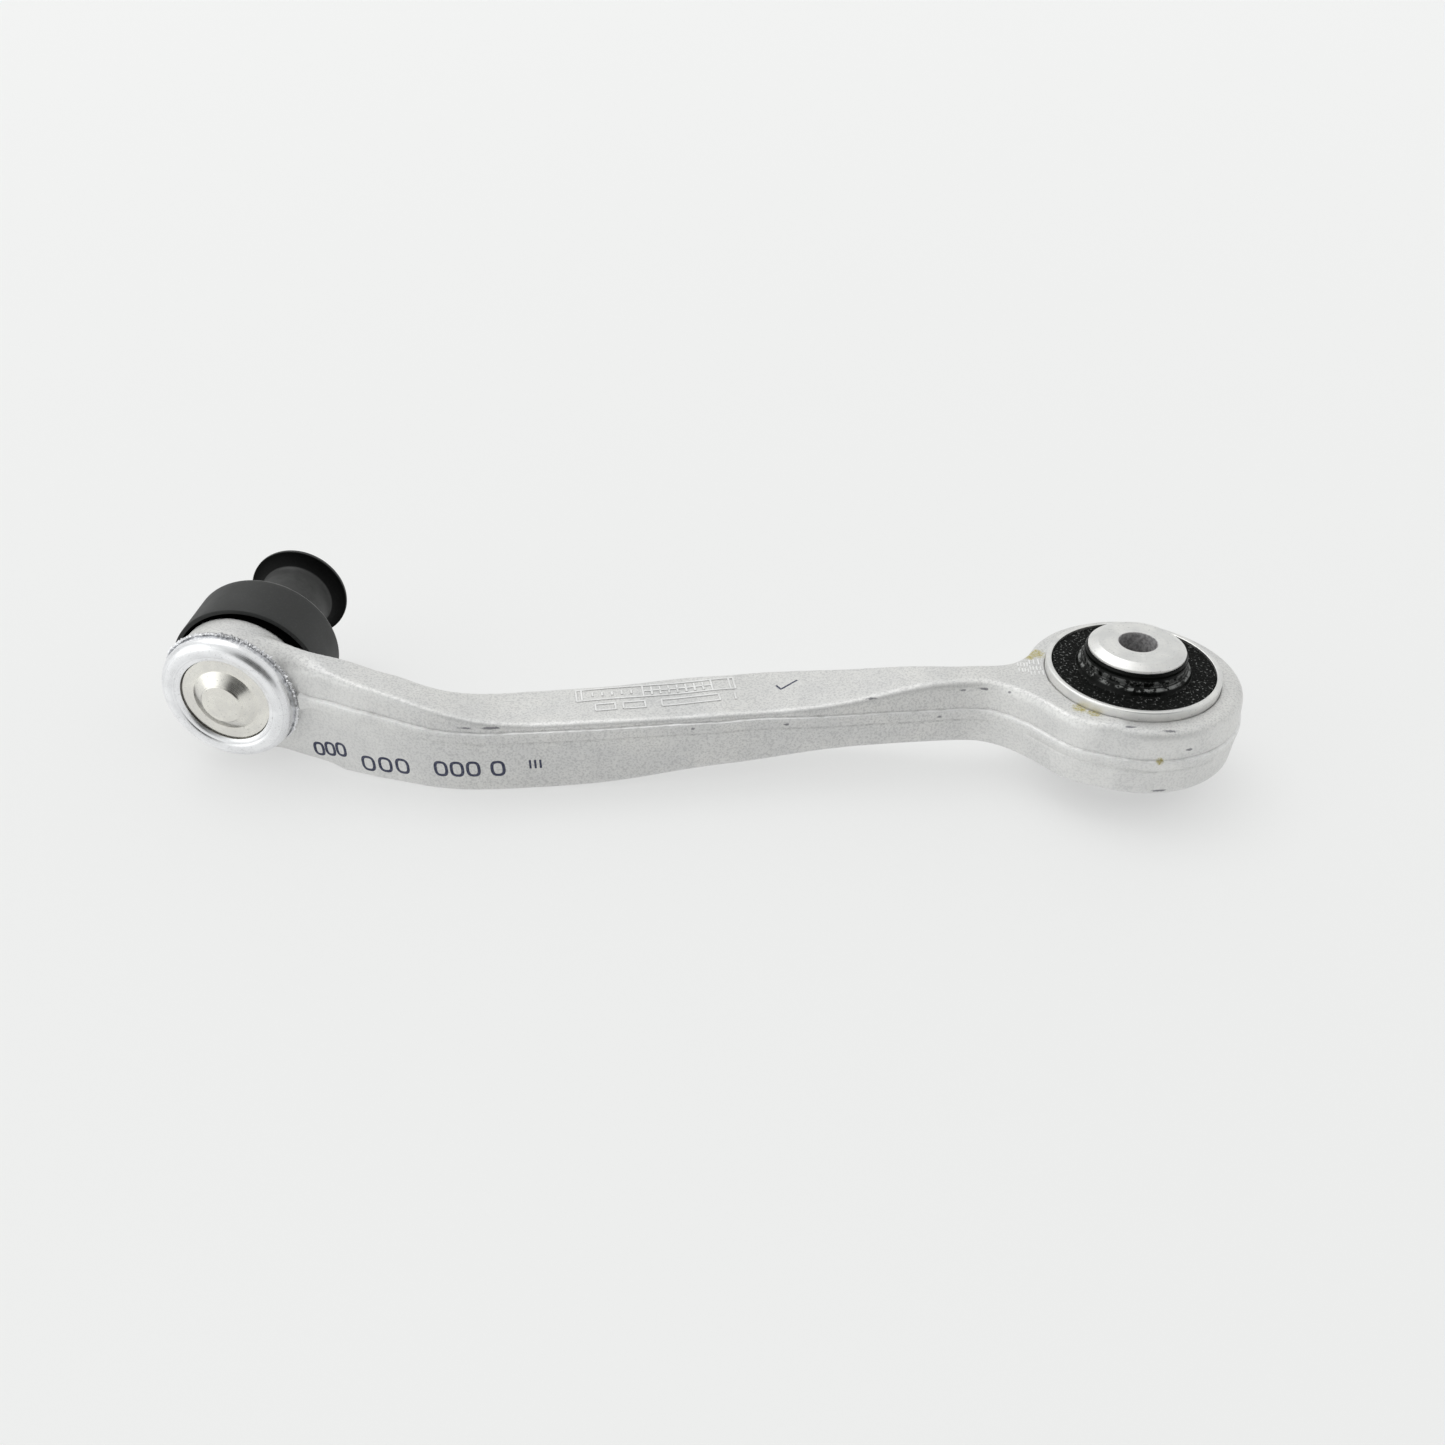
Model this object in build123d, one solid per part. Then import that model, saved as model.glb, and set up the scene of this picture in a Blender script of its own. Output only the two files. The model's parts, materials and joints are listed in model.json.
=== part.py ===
from build123d import *
import math
import os

# Control arm of a car's front suspension: a forged aluminium link with a rubber bush at one
# end and a ball joint at the other. All sizes are in millimetres.
#
# The origin is the middle of the bush bore, +Z runs along the bush axis, and the ball joint
# lies towards -X. The forging's parting plane is z = 0, and it climbs to the ball joint.

# ---- Driving dimensions ----
centre_distance = 246.0     # bush axis to ball centre, along -X
ball_rise = 5.0             # ball centre above the forging's parting plane
housing_turn = 8.5          # housing axis, degrees from +Y towards +X
stud_lean = 7.0             # how far the stud leans from the housing axis at rest, degrees

# Rubber bush, on the Z axis
bore_radius = 5.1
core_radius = 13.0
core_length = 40.0
core_chamfer_radial = 2.3
core_chamfer_axial = 1.4
sleeve_outer_radius = 23.5
sleeve_wall = 1.5
sleeve_length = 25.4
sleeve_chamfer = 0.4
rubber_recess = 0.8         # rubber face below the end of the outer sleeve, at its edge
rubber_ledge_foot = 15.2    # radius where the flat face of the rubber ends
rubber_ledge_radius = 14.6
rubber_ledge_height = 2.0   # above the rubber's outer edge, as the two heights below
rubber_collar_radius = 13.6
rubber_collar_height = 4.6
rubber_tip_height = 6.3
core_gap = 0.05             # rubber to inner sleeve, so that the sleeve can turn

# Forging
eye_radius = 30.0           # over the trimmed flash
eye_offset = 0.5            # eye's outside from the bush axis, away from the ball joint
eye_thickness = 20.0
flash_height = 3.0          # band left at the parting where the flash was trimmed
flash_proud = 0.4
draft = 0.07                # sideways run of a drafted wall per millimetre of its height
eye_edge_radius = 2.6
under_edge_radius = 1.6

# Ball joint, along the housing axis and measured from the ball centre (the cover is at -)
ball_radius = 11.0
ball_clearance = 0.05
seat_radius = 13.2
seat_front = 6.5
cover_radius = 14.4
cover_face = -13.6
cover_thickness = 1.5
cover_opening_radius = 12.9
boss_foot_radius = 8.6      # stepped boss in the middle of the cover
boss_top_radius = 5.9
boss_height = 2.6
bead_radius = 18.7
bead_crown_radius = 15.9
bead_crown_height = 1.5     # of the rolled bead, above the cover
housing_radius = 18.7
housing_shoulder = -0.8
spigot_radius = 16.0
spigot_end = 11.0
mouth_inner_radius = 9.3
mouth_outer_radius = 10.9
groove_radius = 14.8
groove_from = 4.5
groove_to = 7.5
recess_radius = 20.3        # cut into the forging around the rolled bead
recess_floor = -9.8

# Stud, boot and cap, along the stud axis and measured from the ball centre
stud_neck_radius = 6.0
stud_neck_end = 15.0
pin_radius = 8.0
pin_start = 18.0
pin_end = 43.5
pin_chamfer = 1.2
pinch_groove_at = 32.0
pinch_groove_radius = 6.0
pinch_groove_depth = 1.8
fit_gap = 0.1               # boot collar and cap on the pin
boot_radius = 20.9
boot_wall = 1.3
boot_rim = -0.7
boot_shoulder = 17.0
boot_collar_radius = 10.4
boot_collar_end = 21.4
boot_ring_radius = 16.9     # wire ring that holds the boot in the housing's groove
clamp_wire_radius = 0.8
cap_radius = 10.4
cap_start = 21.8
cap_end = 47.0
cap_lip_radius = 14.6
cap_lip_thickness = 1.4
cap_flare_length = 3.6
cap_mouth_depth = 3.0       # of the rounded mouth at the lip, along the stud

# ---- Reference frames ----
ball_centre = Vector(-centre_distance, 0, ball_rise)


def horizontal_axis(degrees_from_y):
    """Plane at the ball centre whose normal is horizontal and turned from +Y towards +X."""
    angle = math.radians(degrees_from_y)
    normal = Vector(math.sin(angle), math.cos(angle), 0)
    return Plane(origin=ball_centre, x_dir=(0, 0, 1), z_dir=normal)


housing_frame = horizontal_axis(housing_turn)
stud_frame = horizontal_axis(housing_turn - stud_lean)


def turned(profile, frame=Plane.XY):
    """Solid of revolution about the frame's normal, from (radius, height) points or a sketch."""
    if isinstance(profile, list):
        profile = make_face(Polyline(*profile, close=True))
    return frame.location * revolve(Plane.XZ * profile, Axis.Z)


# ---- Rubber bush ----
def make_bush_inner_sleeve():
    half = core_length / 2
    face_radius = core_radius - core_chamfer_radial
    chamfer_height = half - core_chamfer_axial
    return turned([
        (bore_radius, -half),
        (face_radius, -half),
        (core_radius, -chamfer_height),
        (core_radius, chamfer_height),
        (face_radius, half),
        (bore_radius, half),
    ])


def make_bush_outer_sleeve():
    half = sleeve_length / 2
    inner = sleeve_outer_radius - sleeve_wall
    return turned([
        (inner, -half),
        (sleeve_outer_radius - sleeve_chamfer, -half),
        (sleeve_outer_radius, sleeve_chamfer - half),
        (sleeve_outer_radius, half - sleeve_chamfer),
        (sleeve_outer_radius - sleeve_chamfer, half),
        (inner, half),
    ])


def make_bush_rubber():
    """Rubber bonded between the sleeves: a flat face with a ledge and a raised collar at the core."""
    outer = sleeve_outer_radius - sleeve_wall
    edge = sleeve_length / 2 - rubber_recess
    upper = [
        (outer, edge),
        (rubber_ledge_foot, edge + 0.2),
        (rubber_ledge_radius, edge + rubber_ledge_height),
        (rubber_collar_radius + 0.3, edge + rubber_ledge_height + 0.4),
        (rubber_collar_radius, edge + rubber_collar_height),
        (core_radius + core_gap, edge + rubber_tip_height),
    ]
    lower = [(radius, -height) for radius, height in reversed(upper)]
    return turned(upper + lower)


# ---- Forging ----
# Sections of the shank from the ball joint to the eye:
# x, near side y, far side y, top z, bottom z, parting z, near edge radius, far edge radius
shank_stations = [
    (-242, -11.8, -2.9, 22.9, -13.9, 5.0, 3.6, 1.2),
    (-237, -12.3, -3.5, 21.2, -14.8, 5.0, 3.6, 1.2),
    (-232, -13.0, -4.0, 19.3, -16.6, 5.0, 3.6, 1.2),
    (-227, -13.6, -4.6, 17.4, -18.0, 5.0, 3.2, 1.2),
    (-217, -16.5, -4.8, 14.6, -18.3, 4.8, 2.2, 1.2),
    (-207, -19.4, -6.9, 12.4, -18.4, 3.8, 1.6, 1.2),
    (-197, -21.7, -8.9, 10.4, -18.5, 2.2, 1.4, 1.2),
    (-187, -23.3, -9.8, 7.8, -18.6, 0.8, 1.2, 1.2),
    (-176, -23.1, -6.8, 5.1, -18.7, 0.0, 1.2, 1.2),
    (-158, -21.2, -2.1, 3.6, -18.6, 0.0, 1.2, 1.2),
    (-135, -18.3, 2.3, 3.5, -17.0, 0.0, 1.2, 1.2),
    (-112, -15.2, 6.7, 3.6, -14.1, 0.0, 1.2, 1.2),
    (-90, -12.4, 9.1, 4.1, -11.5, 0.0, 1.2, 1.2),
    (-74, -10.4, 7.8, 6.1, -10.2, 0.0, 1.4, 1.4),
    (-66, -9.3, 6.6, 7.7, -10.1, 0.0, 1.6, 1.6),
    (-59, -8.5, 5.3, 9.1, -10.0, 0.0, 1.8, 1.8),
    (-50, -7.3, 4.5, 9.8, -10.1, 0.0, 2.0, 2.0),
    (-43, -6.7, 4.9, 9.95, -10.2, 0.0, 2.2, 2.2),
    (-35, -9.2, 5.6, 9.95, -10.1, 0.0, 2.4, 2.4),
    (-28, -15.0, 9.8, 9.95, -9.95, 0.0, 2.6, 2.6),
    (-22, -21.8, 18.4, 9.95, -9.95, 0.0, 2.6, 2.6),
    (-14, -26.7, 25.0, 9.95, -9.95, 0.0, 2.6, 2.6),
    (-6, -28.7, 28.0, 9.95, -9.95, 0.0, 2.8, 2.8),
]


def forged_flank(side, top, bottom, parting, inward):
    """Flank of the forging, from its bottom up: drafted walls, and a proud flash band."""
    wall = side + inward * flash_proud
    upper = parting + flash_height / 2
    lower = parting - flash_height / 2
    return [
        (wall + inward * draft * (lower - bottom), bottom),
        (wall, lower - flash_proud),
        (side, lower),
        (side, upper),
        (wall, upper + flash_proud),
        (wall + inward * draft * (top - upper), top),
    ]


def rounded_corner(outline, vertical, sideways, radius):
    """Round one outer corner of an outline: the upper or lower (1, -1), far or near (1, -1) one."""
    corner = max(outline.vertices(), key=lambda v: 50 * vertical * v.Y + sideways * v.X)
    return fillet(corner, radius)


def make_shank():
    sections = []
    for x, near, far, top, bottom, parting, near_radius, far_radius in shank_stations:
        near_flank = forged_flank(near, top, bottom, parting, 1)
        far_flank = forged_flank(far, top, bottom, parting, -1)
        outline = Polygon(*near_flank, *reversed(far_flank), align=None)
        outline = rounded_corner(outline, 1, -1, near_radius)
        outline = rounded_corner(outline, 1, 1, far_radius)
        outline = rounded_corner(outline, -1, -1, under_edge_radius)
        outline = rounded_corner(outline, -1, 1, under_edge_radius)
        sections.append(Plane.YZ.offset(x) * outline)
    return loft(sections)


def make_eye():
    half = eye_thickness / 2
    flank = forged_flank(eye_radius, half, -half, 0, -1)
    outline = Polygon((0, -half), *flank, (0, half), align=None)
    outline = rounded_corner(outline, 1, 1, eye_edge_radius)
    outline = rounded_corner(outline, -1, 1, under_edge_radius)
    return Pos(eye_offset, 0, 0) * turned(outline)


def make_housing():
    """Cup of the ball joint, with its open rim rolled over the cover."""
    cover_seat = cover_face + cover_thickness
    rim = BuildLine()
    with rim:
        Polyline(
            (cover_opening_radius, cover_face),
            (cover_radius, cover_face),
            (cover_radius, cover_seat),
            (seat_radius, cover_seat),
            (seat_radius, seat_front),
            (mouth_inner_radius, seat_front),
            (mouth_outer_radius, spigot_end),
            (spigot_radius - 1, spigot_end),
            (spigot_radius, spigot_end - 1),
            (spigot_radius, groove_to),
            (groove_radius, groove_to),
            (groove_radius, groove_from),
            (spigot_radius, groove_from),
            (spigot_radius, housing_shoulder),
            (housing_radius - 0.6, housing_shoulder),
            (housing_radius, housing_shoulder - 0.6),
            (housing_radius, cover_face + 3.2),
            (bead_radius, cover_face + 1.8),
        )
        ThreePointArc(
            (bead_radius, cover_face + 1.8),
            (bead_crown_radius, cover_face - bead_crown_height),
            (cover_opening_radius, cover_face),
        )
    return turned(make_face(rim.line), housing_frame)


def make_forged_arm():
    """One forging: shank, eye and ball-joint housing, machined for the bush and the ball."""
    bush_bore = Cylinder(sleeve_outer_radius, 2 * eye_thickness)
    housing_blank = turned([
        (0, recess_floor - 20),
        (recess_radius, recess_floor - 20),
        (recess_radius, recess_floor),
        (housing_radius - 1, recess_floor),
        (housing_radius - 1, spigot_end),
        (0, spigot_end),
    ], housing_frame)
    link = (make_shank() + make_eye()) - bush_bore - housing_blank
    return link + make_housing()


# ---- Ball joint ----
def make_closing_cover():
    """Pressed steel cover with a raised, stepped boss in its middle."""
    back = cover_face + cover_thickness
    return turned([
        (0, back),
        (cover_radius, back),
        (cover_radius, cover_face),
        (boss_foot_radius + 0.7, cover_face),
        (boss_foot_radius, cover_face - 0.5),
        (boss_top_radius, cover_face - boss_height + 0.2),
        (boss_top_radius - 0.5, cover_face - boss_height),
        (0, cover_face - boss_height),
    ], housing_frame)


def make_ball_seat():
    """Plastic bearing shell that wraps the ball, open towards the stud."""
    back = cover_face + cover_thickness
    shell = turned([
        (0, back),
        (seat_radius, back),
        (seat_radius, seat_front),
        (0, seat_front),
    ], housing_frame)
    cavity = housing_frame.location * Sphere(ball_radius + ball_clearance)
    return shell - cavity


def make_ball_stud():
    """Ball, neck and pin in one piece, with the notch for the knuckle's pinch bolt."""
    stem = turned([
        (0, 0),
        (stud_neck_radius, 0),
        (stud_neck_radius, stud_neck_end),
        (pin_radius, pin_start),
        (pin_radius, pin_end - pin_chamfer),
        (pin_radius - pin_chamfer, pin_end),
        (0, pin_end),
    ])
    stud = stem + Sphere(ball_radius)
    notch = Pos(0, pin_radius + pinch_groove_radius - pinch_groove_depth, pinch_groove_at)
    notch = notch * Rot(0, 90, 0) * Cylinder(pinch_groove_radius, 4 * pin_radius)
    return stud_frame.location * (stud - notch)


def boot_large_ring_section():
    return Pos(boot_ring_radius, groove_from) * Circle(clamp_wire_radius)


def boot_small_ring_section():
    return Pos(boot_collar_radius, boot_collar_end - 1.6) * Circle(clamp_wire_radius)


def make_dust_boot():
    """Rubber boot: a drum around the housing's spigot, closed down to a collar on the stud."""
    inner = boot_radius - boot_wall
    stud_bore = pin_radius + fit_gap
    shell = turned([
        (inner, boot_rim),
        (boot_radius, boot_rim),
        (boot_radius, boot_shoulder - 0.8),
        (boot_radius - 0.8, boot_shoulder),
        (boot_collar_radius, boot_shoulder + 1.0),
        (boot_collar_radius, boot_collar_end),
        (stud_bore, boot_collar_end),
        (stud_bore, boot_shoulder + 1.2),
        (stud_bore + 1.2, boot_shoulder - 0.6),
        (inner, boot_shoulder - boot_wall - 0.4),
    ], stud_frame)
    lip = turned([
        (groove_radius + fit_gap, groove_from + fit_gap),
        (inner + 0.4, groove_from + 0.8),
        (inner + 0.4, groove_to - 0.8),
        (groove_radius + fit_gap, groove_to - fit_gap),
    ], housing_frame)
    channels = turned(boot_large_ring_section(), housing_frame)
    channels += turned(boot_small_ring_section(), stud_frame)
    return shell + lip - channels


def make_boot_large_ring():
    return turned(boot_large_ring_section(), housing_frame)


def make_boot_small_ring():
    return turned(boot_small_ring_section(), stud_frame)


def make_pin_cap():
    """Plastic transport cap: a tube over the pin with a flared lip at its open end."""
    bore = pin_radius + fit_gap
    lip_front = cap_end - cap_lip_thickness
    outline = BuildLine()
    with outline:
        Polyline(
            (cap_radius, lip_front - cap_flare_length),
            (cap_radius, cap_start),
            (bore, cap_start),
            (bore, cap_end - cap_mouth_depth),
        )
        ThreePointArc(
            (bore, cap_end - cap_mouth_depth),
            (bore + 2.2, cap_end - 0.9),
            (cap_lip_radius - 0.6, cap_end),
        )
        Polyline(
            (cap_lip_radius - 0.6, cap_end),
            (cap_lip_radius, cap_end - 0.4),
            (cap_lip_radius, lip_front),
        )
        ThreePointArc(
            (cap_lip_radius, lip_front),
            (cap_radius + 1.2, lip_front - 1.25),
            (cap_radius, lip_front - cap_flare_length),
        )
    return turned(make_face(outline.line), stud_frame)


# ---- Export ----
makers = {
    "forged_arm": make_forged_arm,
    "bush_outer_sleeve": make_bush_outer_sleeve,
    "bush_rubber": make_bush_rubber,
    "bush_inner_sleeve": make_bush_inner_sleeve,
    "ball_seat": make_ball_seat,
    "closing_cover": make_closing_cover,
    "ball_stud": make_ball_stud,
    "dust_boot": make_dust_boot,
    "boot_large_ring": make_boot_large_ring,
    "boot_small_ring": make_boot_small_ring,
    "pin_cap": make_pin_cap,
}

os.makedirs("parts", exist_ok=True)
for name, make in makers.items():
    export_step(make(), f"parts/{name}.step")
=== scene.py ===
import json
import math

import bmesh
import bpy
import numpy as np
from mathutils import Matrix, Vector, noise
from mathutils.bvhtree import BVHTree


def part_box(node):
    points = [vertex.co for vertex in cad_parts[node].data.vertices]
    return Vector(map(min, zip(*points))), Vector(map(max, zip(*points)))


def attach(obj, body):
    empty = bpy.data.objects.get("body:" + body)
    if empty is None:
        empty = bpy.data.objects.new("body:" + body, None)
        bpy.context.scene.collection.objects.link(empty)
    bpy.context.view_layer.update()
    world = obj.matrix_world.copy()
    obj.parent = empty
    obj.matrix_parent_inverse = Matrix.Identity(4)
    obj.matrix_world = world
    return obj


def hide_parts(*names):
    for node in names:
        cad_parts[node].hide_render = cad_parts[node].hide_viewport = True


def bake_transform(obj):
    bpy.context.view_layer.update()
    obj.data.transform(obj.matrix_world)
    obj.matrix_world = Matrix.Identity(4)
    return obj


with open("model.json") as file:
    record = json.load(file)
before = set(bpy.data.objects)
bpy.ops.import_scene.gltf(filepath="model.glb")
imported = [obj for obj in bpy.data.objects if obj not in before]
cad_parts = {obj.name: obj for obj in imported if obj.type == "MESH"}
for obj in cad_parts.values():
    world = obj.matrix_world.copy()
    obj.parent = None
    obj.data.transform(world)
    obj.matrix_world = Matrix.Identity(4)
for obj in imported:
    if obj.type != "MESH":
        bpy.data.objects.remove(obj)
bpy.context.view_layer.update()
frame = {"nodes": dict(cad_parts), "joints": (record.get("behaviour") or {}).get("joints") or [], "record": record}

MM = 0.001
joints = {joint["name"]: joint for joint in frame["joints"]}

# ---- Places and sizes, in mm unless said ----
BUSH_CENTRE = Vector((0, 0, 0))
BUSH_AXIS = Vector((0, 0, 1))
BALL_CENTRE = Vector(joints["stud_tilt"]["pos_m"])  # in metres
STUD_AXIS = Vector(joints["stud_spin"]["axis"])
STUD_LEAN = math.radians(7)
HOUSING_AXIS = Matrix.Rotation(-STUD_LEAN, 3, "Z") @ STUD_AXIS

OUTSIDE = 60                # clear of every surface of the arm, measured from its middle
EYE_CENTRE = Vector((0.5, 0))
FLASH_HALF_HEIGHT = 1.5
COVER_BOSS = 2.6            # the middle of the cover stands this far out of its face
RUBBER_RECESS = 0.8         # rubber below the end of the bush's outer sleeve
CORE_GAP = 0.06             # rubber to inner sleeve

# Height of the forging's parting line along its length, as (x, z)
PARTING = ((-227, 5.0), (-217, 4.8), (-207, 3.8), (-197, 2.2), (-187, 0.8), (-176, 0.0))

# Smoothing of the forging's skin
VOXEL = 0.62
SMOOTH_STEPS = 120          # in the creases beside the ball joint
OVERALL_STEPS = 3           # the first of them, which round the whole skin a little
OVERALL_SHARE = 0.12
SMOOTH_PACE = 0.6
FAINT_CREASE = 0.01136      # a weaker one is only smoothed with the whole skin

# Pieces that lie on the forging: depth of their feet under its surface
FOOT = 0.05


# ---- Profiles: lists of (r, z) in mm ----
def rounded(points, radius, closed=True):
    """Profile with small arcs at its corners. Points are (r, z) or (r, z, corner radius), in mm."""
    steps = 4   # of each arc
    count = len(points)
    result = []
    for i, point in enumerate(points):
        here = Vector(point[:2])
        reach = point[2] if len(point) > 2 else radius
        if reach == 0 or (not closed and i in (0, count - 1)):
            result.append(tuple(here))
            continue
        back = Vector(points[i - 1][:2]) - here
        ahead = Vector(points[(i + 1) % count][:2]) - here
        turn = math.pi - back.angle(ahead)
        if turn < math.radians(3):
            result.append(tuple(here))
            continue
        cut = min(reach * math.tan(turn / 2), 0.45 * back.length, 0.45 * ahead.length)
        start = here + back.normalized() * cut
        end = here + ahead.normalized() * cut
        for step in range(steps + 1):
            s = step / steps
            result.append(tuple(start * (1 - s) ** 2 + here * (2 * s * (1 - s)) + end * s * s))
    return result


def rounded_shares(points, radius):
    """rounded() for (r, z, share) points: the share is taken from the nearest given point."""
    made = rounded([p[:2] for p in points], radius)
    result = []
    for r, z in made:
        nearest = min(points, key=lambda p: math.dist(p[:2], (r, z)))
        result.append((r, z, nearest[2]))
    return result


def arc(first, middle, last, steps):
    """Points of the circle through three (r, z) points."""
    (ax, ay), (bx, by), (cx, cy) = first, middle, last
    d = 2 * (ax * (by - cy) + bx * (cy - ay) + cx * (ay - by))
    a2, b2, c2 = ax * ax + ay * ay, bx * bx + by * by, cx * cx + cy * cy
    ox = (a2 * (by - cy) + b2 * (cy - ay) + c2 * (ay - by)) / d
    oy = (a2 * (cx - bx) + b2 * (ax - cx) + c2 * (bx - ax)) / d
    radius = math.dist((ax, ay), (ox, oy))
    start, mid, end = (math.atan2(y - oy, x - ox) for x, y in (first, middle, last))
    turn = (end - start) % (2 * math.pi)
    if (mid - start) % (2 * math.pi) > turn:
        turn -= 2 * math.pi
    angles = [start + turn * i / steps for i in range(steps + 1)]
    return [(ox + radius * math.cos(angle), oy + radius * math.sin(angle)) for angle in angles]


def mirrored(half):
    """Closed profile made of its upper half, as (r, z, corner radius), and the mirror of that."""
    return half + [(r, -z, corner) for r, z, corner in reversed(half[1:-1])]


def refined(points, longest, closed=True):
    """Profile whose long straight runs are divided, so that no run is longer than the given mm."""
    result = []
    count = len(points)
    for i, point in enumerate(points):
        result.append(point)
        if not closed and i == count - 1:
            break
        after = points[(i + 1) % count]
        run = math.dist(point[:2], after[:2])
        pieces = max(1, math.ceil(run / longest))
        for k in range(1, pieces):
            share = k / pieces
            result.append(tuple(a + (b - a) * share for a, b in zip(point, after)))
    return result


# ---- Mesh helpers ----
def unit(value):
    """The value, kept between 0 and 1."""
    return max(0.0, min(1.0, value))


def grain(x, y, z, scale):
    """Smooth noise between about -1 and 1, which repeats exactly on each run."""
    return noise.noise(Vector((x, y, z)) * scale)


def axis_matrix(origin, axis):
    """Placement whose Z is the axis and whose X points as nearly up as it can."""
    z = axis.normalized()
    guide = Vector((1, 0, 0)) if abs(z.z) > 0.9 else Vector((0, 0, 1))
    x = (guide - z * guide.dot(z)).normalized()
    y = z.cross(x)
    turned = Matrix((x, y, z)).transposed().to_4x4()
    return Matrix.Translation(origin) @ turned


def new_piece(name, mesh, material, body=None):
    """Object for a mesh, with one material, riding on a body if one is given."""
    piece = bpy.data.objects.new(name, mesh)
    bpy.context.collection.objects.link(piece)
    mesh.materials.clear()
    mesh.materials.append(material)
    if body:
        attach(piece, body)
    return piece


def set_marks(mesh, values):
    """Give each vertex its wear and painted highlight (above 0) or its painted shade (below 0), which the
    materials read.
    """
    marks = mesh.attributes.new("mark", "FLOAT", "POINT")
    marks.data.foreach_set("value", values)


def finished(made, mesh, sharp, place=Matrix.Identity(4)):
    """Write a bmesh to its mesh at its place, smooth except at edges of more than sharp degrees."""
    bmesh.ops.recalc_face_normals(made, faces=made.faces)
    made.to_mesh(mesh)
    made.free()
    mesh.transform(place)
    mesh.shade_smooth()
    mesh.set_sharp_from_angle(angle=math.radians(sharp))
    return mesh


def lathe(name, profile, place, segments, closed=True, shape=None, sharp=35):
    """Mesh turned from an (r, z) profile in mm. shape(r, z, angle) may move each point."""
    mesh = bpy.data.meshes.new(name)
    made = bmesh.new()
    rings = []
    for r, z in profile:
        if r < 1e-6:
            rings.append([made.verts.new((0, 0, z * MM))])
            continue
        ring = []
        for k in range(segments):
            angle = 2 * math.pi * k / segments
            at_r, at_z = shape(r, z, angle) if shape else (r, z)
            at = Vector((at_r * MM * math.cos(angle), at_r * MM * math.sin(angle), at_z * MM))
            ring.append(made.verts.new(at))
        rings.append(ring)
    pairs = list(zip(rings, rings[1:]))
    if closed:
        pairs.append((rings[-1], rings[0]))
    for low, high in pairs:
        if len(low) == 1 and len(high) == 1:
            continue
        for k in range(segments):
            after = (k + 1) % segments
            if len(low) == 1:
                made.faces.new((low[0], high[after], high[k]))
            elif len(high) == 1:
                made.faces.new((low[k], low[after], high[0]))
            else:
                made.faces.new((low[k], low[after], high[after], high[k]))
    return finished(made, mesh, sharp, place)


def sweep(name, paths, material, body, marks=None):
    """Closed bars: each path is a list of rings of world points in metres.

    marks gives a value to each point of a ring.
    """
    mesh = bpy.data.meshes.new(name)
    made = bmesh.new()
    for path in paths:
        rings = [[made.verts.new(point) for point in ring] for ring in path]
        for low, high in zip(rings, rings[1:]):
            for k, vertex in enumerate(low):
                after = (k + 1) % len(low)
                made.faces.new((vertex, low[after], high[after], high[k]))
        made.faces.new(reversed(rings[0]))
        made.faces.new(rings[-1])
    finished(made, mesh, sharp=38)
    if marks:
        set_marks(mesh, np.resize(marks, len(mesh.vertices)))
    return new_piece(name, mesh, material, body)


class Skin:
    """A mesh that marks can be laid on."""

    def __init__(self, mesh):
        points = [vertex.co for vertex in mesh.vertices]
        self.tree = BVHTree.FromPolygons(points, [face.vertices for face in mesh.polygons])

    def hit(self, origin, direction):
        """Point, in metres, and normal where a ray from a place in mm meets the mesh."""
        point, normal, _, _ = self.tree.ray_cast(Vector(origin) * MM, Vector(direction))
        return point, normal

    def top(self, x, y):
        """Point and normal of the top face at (x, y) mm."""
        return self.hit((x, y, OUTSIDE), (0, 0, -1))

    def near_flank(self, x, z):
        """Point and normal of the near flank at (x, z) mm."""
        return self.hit((x, -OUTSIDE, z), (0, 1, 0))

    def bar(self, cast, points, width, height):
        """Rings of a low bar along a polyline, on the surface that cast finds: top or near_flank."""
        spacing = 0.45
        flat = [Vector(p) for p in refined(points, spacing, closed=False)]
        rings = []
        for i, here in enumerate(flat):
            along = (flat[min(i + 1, len(flat) - 1)] - flat[max(i - 1, 0)]).normalized()
            side = Vector((-along.y, along.x)) * width / 2
            ring = []
            for share, lift in ((1, -FOOT), (0.6, height), (-0.6, height), (-1, -FOOT)):
                point, normal = cast(*(here + side * share))
                ring.append(point + normal * lift * MM)
            rings.append(ring)
        return rings


def read_vectors(mesh, name):
    """The co or the normal of each vertex, as rows of an array."""
    values = np.empty(len(mesh.vertices) * 3)
    mesh.vertices.foreach_get(name, values)
    return values.reshape(-1, 3)


def about_axis(points, origin, axis):
    """Height of each point along an axis, and its distance from the axis."""
    arm = points - np.array(origin)
    height = arm @ np.array(axis)
    return height, np.linalg.norm(arm - np.outer(height, np.array(axis)), axis=1)


def extent(node, origin, axis):
    """Lowest and highest height along an axis, and largest radius, of a CAD node, in mm."""
    height, radius = about_axis(read_vectors(frame["nodes"][node].data, "co"), origin, axis)
    return height.min() / MM, height.max() / MM, radius.max() / MM


# ---- Material helpers ----
# Colours of marks and stains on the surfaces, and of painted glints, highlights and shade
STREAK = (0.62, 0.625, 0.65)
PIT = (0.3, 0.3, 0.3)
BORE_DARK = (0.24, 0.235, 0.24)
BORE_LIGHT = (0.46, 0.45, 0.455)
PAINTED_GLINT = (0.24, 0.245, 0.24)
WEAR_AND_HIGHLIGHT = (0.93, 0.93, 0.93)
PAINTED_SHADE = (0.27, 0.27, 0.27)
SCUFF = (0.13, 0.13, 0.15)
YELLOW_PAINT = (0.44, 0.37, 0.06)


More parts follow.
